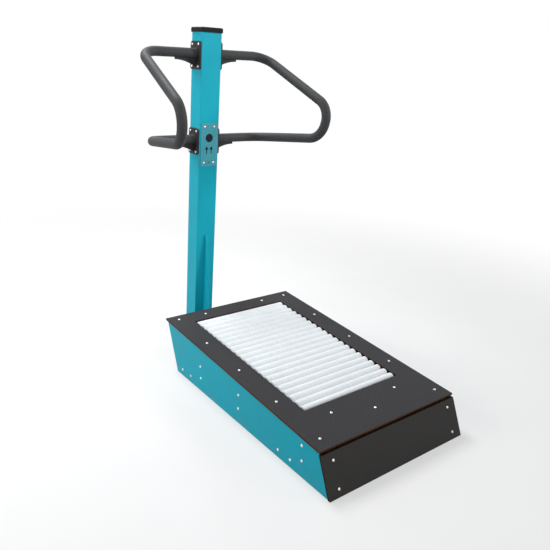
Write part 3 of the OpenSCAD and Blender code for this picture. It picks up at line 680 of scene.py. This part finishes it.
def screws_at(master, places, name):
    """Copies of a screw as one piece, each at a point with its head along a direction. Their
    sockets stand at different angles, as a fitter leaves them."""
    first_angle, next_angle = 17, 41
    made = []
    for k, (point, direction) in enumerate(places):
        copy = master.copy()
        copy.data = master.data.copy()
        bpy.context.scene.collection.objects.link(copy)
        lean = Vector((0, 0, 1)).rotation_difference(Vector(direction)).to_matrix().to_4x4()
        turn = Matrix.Rotation(math.radians(first_angle + next_angle * k), 4, "Z")
        copy.matrix_world = Matrix.Translation(point) @ lean @ turn
        settle(copy)
        made.append(copy)
    return join(made, name)


screw_22 = model_screw("screw_22", 0.022)
screw_18 = model_screw("screw_18", 0.018)
screw_20 = model_screw("screw_20", 0.020)

# Across, and along the slope: five pairs down the deck's sides, two ahead of the rollers and
# three behind them
DECK_SCREWS = [(side * 0.348, 0.057 + 0.270 * row) for row in range(5) for side in SIDES]
DECK_SCREWS += [(side * 0.188, DECK_LENGTH - 0.046) for side in SIDES]
DECK_SCREWS += [(side * 0.193, 0.158) for side in SIDES] + [(0, 0.094)]
# Ahead of the deck's rear edge, and above the ground
SIDE_SCREWS = [(0.158, 0.038), (0.235, 0.038), (0.925, 0.037), (1.003, 0.035), (0.092, 0.076),
               (0.099, 0.142), (0.520, 0.074), (0.524, 0.140), (0.832, 0.070), (0.840, 0.130)]
# Across, and above the ground
REAR_SCREWS = [(side * 0.346, z) for side in SIDES for z in (0.032, 0.132)]
FRONT_SCREWS = [(side * 0.373, z) for side in SIDES for z in (0.040, 0.150)]
# The roller rails' screws stand between two rollers, under the deck
RAIL_SCREW_X, RAIL_SCREW_DROP = 0.289, 0.036
RAIL_SCREWS = [FIRST_ROLLER + ROLLER_PITCH * (gap + 0.5) for gap in (1, 6, 11, 16)]
# The flanges' bolts: half their spacing along and up, about a point below the arm's axis
BOLT_Y, BOLT_Z, BOLTS_BELOW = 0.030, 0.054, 0.010

SCREW_SETS = {
    "deck_screws": [(on_slope(x, along), DECK_NORMAL) for x, along in DECK_SCREWS],
    "left_panel_screws": [((-SIDE_X, DECK_REAR_Y + y, z), (-1, 0, 0)) for y, z in SIDE_SCREWS],
    "right_panel_screws": [((SIDE_X, DECK_REAR_Y + y, z), (1, 0, 0)) for y, z in SIDE_SCREWS],
    "rear_panel_screws": [(on_rear_wall(x, z), WALL_NORMAL) for x, z in REAR_SCREWS],
    "front_panel_screws": [(on_front_wall(x, z), -WALL_NORMAL) for x, z in FRONT_SCREWS],
    "roller_rail_screws": [(on_slope(side * RAIL_SCREW_X, along, -RAIL_SCREW_DROP), (-side, 0, 0))
                           for side in SIDES for along in RAIL_SCREWS],
}
for node, places in SCREW_SETS.items():
    master = screw_18 if node in ("rear_panel_screws", "front_panel_screws") else screw_22
    name = node.replace("_screws", "_socket_screws")
    finish_piece(screws_at(master, places, name), stainless, "stainless", node)
bolt_places = [((side * FLANGE_FACE_X, POST_Y + ahead * BOLT_Y, z - BOLTS_BELOW + up * BOLT_Z),
                (side, 0, 0))
               for side in SIDES for z in ARM_HEIGHTS for ahead in (-1, 1) for up in (-1, 1)]
finish_piece(screws_at(screw_20, bolt_places, "handle_socket_bolts"), stainless, "stainless",
             "handle_bolts")
for spare in (screw_22, screw_18, screw_20):
    bpy.data.objects.remove(spare)


# Welds

def weld_round_arm(side, z):
    """A bead round a handlebar's arm on its flange, with the ripple of a hand-laid weld."""
    ripples, bead_radius, ripple_depth = 56, 0.0036, 0.0005
    off_flange, off_arm = 0.0008, 0.0006
    deselect()
    bpy.ops.mesh.primitive_circle_add(
        vertices=10, radius=bead_radius, rotation=(math.pi / 2, 0, 0),
        location=(side * (FLANGE_FACE_X + off_flange), POST_Y, z + ARM_RADIUS + off_arm))
    weld = bpy.context.object
    settle(weld)
    bpy.ops.object.mode_set(mode="EDIT")
    bpy.ops.mesh.select_all(action="SELECT")
    bpy.ops.mesh.spin(steps=ripples, angle=2 * math.pi, center=(0, POST_Y, z), axis=(1, 0, 0))
    bpy.ops.mesh.select_all(action="SELECT")
    bpy.ops.mesh.remove_doubles(threshold=0.00001)
    face_outwards()

    def on_even_ring(co):
        turn = math.atan2(co.z - z, co.y - POST_Y) / (2 * math.pi)
        return round(turn * ripples) % 2 == 0

    pick(weld, "VERT", on_even_ring)
    bpy.ops.transform.translate(value=(side * ripple_depth, 0, 0))
    bpy.ops.object.mode_set(mode="OBJECT")
    return weld


def weld_round_post():
    """A fillet round the foot of the post, on its foot plate."""
    leg, into_plate = 0.005, 0.001
    low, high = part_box("post")
    plate_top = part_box("foot_plate")[1][2]
    middle_z = plate_top + (leg - into_plate) / 2
    deselect()
    bpy.ops.mesh.primitive_cube_add(size=1, location=(0, POST_Y, middle_z))
    weld = bpy.context.object
    weld.scale = (high[0] - low[0] + 2 * leg, high[1] - low[1] + 2 * leg, leg + into_plate)
    settle(weld)
    pick(weld, "EDGE", lambda co: co.z > plate_top)
    bpy.ops.mesh.bevel(offset=leg * 0.9, segments=4, profile=0.35, affect="EDGES")
    bpy.ops.object.mode_set(mode="OBJECT")
    return weld


arm_welds = [weld_round_arm(side, z) for side in SIDES for z in ARM_HEIGHTS]
finish_piece(join(arm_welds, "arm_welds"), shaded_grey_paint, "grey_paint")
finish_piece(join([weld_round_post()], "post_foot_weld"), teal_paint, "teal_paint")


# Signs on the instruction plate

def flat_on_plate(x, z, width, height):
    """A flat rectangle that lies on the instruction plate."""
    deselect()
    bpy.ops.mesh.primitive_plane_add(size=1, location=(x, PLATE_FACE_Y, z),
                                     rotation=(math.pi / 2, 0, 0))
    piece = bpy.context.object
    piece.scale = (width, height, 1)
    settle(piece)
    return piece


def raise_sign(piece, thickness):
    """Gives a flat sign its thickness, towards the user."""
    bpy.ops.mesh.select_all(action="SELECT")
    bpy.ops.mesh.extrude_region_move(TRANSFORM_OT_translate={"value": (0, -thickness, 0)})
    face_outwards()
    return piece


def up_arrow(x, z):
    """An arrow: a shaft whose top edge is spread into barbs and drawn up to a point."""
    shaft_width, shaft_length, shaft_top = 0.0050, 0.024, z + 0.006
    barb_width, barb_drop, head_length = 0.0215, 0.002, 0.019
    piece = flat_on_plate(x, shaft_top - shaft_length / 2, shaft_width, shaft_length)
    pick(piece, "EDGE", lambda co: co.z > z)
    bpy.ops.mesh.extrude_region_move(TRANSFORM_OT_translate={"value": (0, 0, -barb_drop)})
    bpy.ops.transform.resize(value=(barb_width / shaft_width, 1, 1),
                             center_override=(x, PLATE_FACE_Y, z))
    bpy.ops.mesh.extrude_region_move(TRANSFORM_OT_translate={"value": (0, 0, head_length)})
    bpy.ops.mesh.merge(type="CENTER")
    return raise_sign(piece, thickness=0.0004)


def round_sign(z, radius):
    """A disc with a softened rim."""
    thickness = 0.0005
    deselect()
    bpy.ops.mesh.primitive_cylinder_add(
        vertices=64, radius=radius, depth=thickness,
        location=(0, PLATE_FACE_Y - thickness / 2, z), rotation=(math.pi / 2, 0, 0))
    piece = bpy.context.object
    settle(piece)
    pick(piece, "EDGE", lambda co: co.y < PLATE_FACE_Y - thickness / 2)
    bpy.ops.mesh.bevel(offset=thickness / 2, segments=2, affect="EDGES")
    bpy.ops.object.mode_set(mode="OBJECT")
    return piece


def border_line():
    """A thin pale line round the plate: a rectangle is inset and its middle taken out."""
    middle_z, width, height, line = 1.085, 0.094, 0.223, 0.0012
    piece = flat_on_plate(0, middle_z, width, height)
    bpy.ops.object.mode_set(mode="EDIT")
    bpy.ops.mesh.select_mode(type="FACE")
    bpy.ops.mesh.select_all(action="SELECT")
    bpy.ops.mesh.inset(thickness=line)
    bpy.ops.mesh.delete(type="FACE")
    return raise_sign(piece, thickness=0.0003)


ARROW_X, ARROW_Z = 0.0145, 1.055
DISC_Z, DISC_RADIUS = 1.1215, 0.0225
DOT_Z, DOT_RADIUS = 0.990, 0.003
signs = [round_sign(DISC_Z, DISC_RADIUS), up_arrow(-ARROW_X, ARROW_Z), up_arrow(ARROW_X, ARROW_Z),
         round_sign(DOT_Z, DOT_RADIUS)]
finish_piece(join(signs, "plate_signs"), sign_ink, "sign_plate")
finish_piece(join([border_line()], "plate_border"), sign_edge, "sign_plate")


# Floor

def open_ground(tree, place):
    """0 on the ground under the box, which stays dark between the rollers, else 1."""
    middle_y, half_length, soft_edge = -0.305, 0.53, 0.02
    parts = parts_of(tree, place)
    beside = smooth(tree, absolute(tree, parts["X"]), SIDE_X - soft_edge, SIDE_X)
    along = absolute(tree, minus(tree, parts["Y"], middle_y))
    return larger(tree, beside, smooth(tree, along, half_length - soft_edge, half_length))


def white_light(tree):
    node = tree.nodes.new("ShaderNodeEmission")
    node.inputs["Color"].default_value = (1, 1, 1, 1)
    return node


def pale_floor():
    """A pale floor that fades into the white beyond it. It gives the object less light than the
    picture shows."""
    dark_grey, pale_grey, lift_strength = (0.37, 0.37, 0.37, 1), (0.40, 0.40, 0.40, 1), 0.52
    material, tree, shader = new_material("pale floor", roughness=0.9, specular=0.1)
    place = object_place(tree)
    tone = mix_colour(tree, noise(tree, place, scale=3.0, detail=4.0), dark_grey, pale_grey)
    link(tree, tone, shader.inputs["Base Color"])
    seen = seen_in_picture(tree)

    lift = white_light(tree)
    lifted = times(tree, times(tree, seen, lift_strength), open_ground(tree, place))
    link(tree, lifted, lift.inputs["Strength"])
    near = tree.nodes.new("ShaderNodeAddShader")
    link(tree, shader.outputs[0], near.inputs[0])
    link(tree, lift.outputs[0], near.inputs[1])

    from_object = tree.nodes.new("ShaderNodeVectorMath")
    from_object.operation = "LENGTH"
    link(tree, place, from_object.inputs[0])
    far = smooth(tree, from_object.outputs["Value"], low=1.5, high=4.0)
    fade = tree.nodes.new("ShaderNodeMixShader")
    link(tree, times(tree, far, seen), fade.inputs[0])
    link(tree, near.outputs[0], fade.inputs[1])
    link(tree, white_light(tree).outputs[0], fade.inputs[2])
    out = next(node for node in tree.nodes if node.type == "OUTPUT_MATERIAL")
    link(tree, fade.outputs[0], out.inputs["Surface"])
    return material


deselect()
bpy.ops.mesh.primitive_circle_add(vertices=96, radius=30, fill_type="NGON", location=(0, 0, 0))
floor = bpy.context.object
floor.name = "floor"
floor.data.materials.append(pale_floor())


# Light

def sky(tree, colour, strength):
    node = tree.nodes.new("ShaderNodeBackground")
    node.inputs["Color"].default_value = colour
    node.inputs["Strength"].default_value = strength
    return node.outputs[0]


def studio_world():
    """Soft cool light from all round, which the picture and glossy faces show as plain white."""
    world = bpy.data.worlds.new("studio")
    world.use_nodes = True
    tree = world.node_tree
    tree.nodes.clear()
    choose = tree.nodes.new("ShaderNodeMixShader")
    link(tree, seen_in_picture(tree), choose.inputs[0])
    link(tree, sky(tree, (0.93, 0.96, 1.0, 1), strength=0.32), choose.inputs[1])
    link(tree, sky(tree, (1, 1, 1, 1), strength=1.0), choose.inputs[2])
    out = tree.nodes.new("ShaderNodeOutputWorld")
    link(tree, choose.outputs[0], out.inputs["Surface"])
    return world


def soft_box(name, place, target, size, power, spread=180):
    """A square lamp aimed at a point, with its power in watts and its spread in degrees."""
    light = bpy.data.lights.new(name, "AREA")
    light.shape = "SQUARE"
    light.size = size
    light.energy = power
    light.spread = math.radians(spread)
    lamp = bpy.data.objects.new(name, light)
    bpy.context.scene.collection.objects.link(lamp)
    lamp.location = place
    lamp.rotation_euler = (Vector(target) - Vector(place)).to_track_quat("-Z", "Y").to_euler()


bpy.context.scene.world = studio_world()
soft_box("key light", (-3.4, 1.2, 2.2), (0, 0.4, 0.8), size=1.8, power=70)
soft_box("overhead light", (-0.3, 2.4, 4.2), (0, -0.1, 0.2), size=1.3, power=158)
soft_box("front fill light", (-0.4, -3.8, 2.6), (0, 0.7, 1.5), size=1.8, power=6, spread=52)
soft_box("right fill light", (3.4, -2.3, 3.3), (0, 0.7, 1.3), size=1.5, power=10.5, spread=44)


# Camera, at the photograph's viewing angle

CAMERA_PLACE = Vector((-1.766554, -2.072149, 1.540887))
CAMERA_RIGHT = Vector((0.812746, -0.580447, 0.050253))
CAMERA_AHEAD = Vector((0.561759, 0.757852, -0.331793))
# The picture's width, its middle pixel, the focal length and the point straight ahead, in pixels
PICTURE, MIDDLE, FOCAL = 550, 274.5, 594.3165
AHEAD_X, AHEAD_Y = 241.28, 266.01
SENSOR = 36.0

camera_data = bpy.data.cameras.new("camera")
camera_data.sensor_fit = "HORIZONTAL"
camera_data.sensor_width = SENSOR
camera_data.lens = SENSOR * FOCAL / PICTURE
camera_data.shift_x = (MIDDLE - AHEAD_X) / PICTURE
camera_data.shift_y = (AHEAD_Y - MIDDLE) / PICTURE
camera_data.clip_end = 100
camera = bpy.data.objects.new("camera", camera_data)
bpy.context.scene.collection.objects.link(camera)
bpy.context.scene.camera = camera
camera_up = CAMERA_RIGHT.cross(CAMERA_AHEAD)
aim = Matrix((CAMERA_RIGHT, camera_up, -CAMERA_AHEAD)).transposed().to_4x4()
camera.matrix_world = Matrix.Translation(CAMERA_PLACE) @ aim
bpy.context.scene.view_settings.view_transform = "Standard"

deselect()
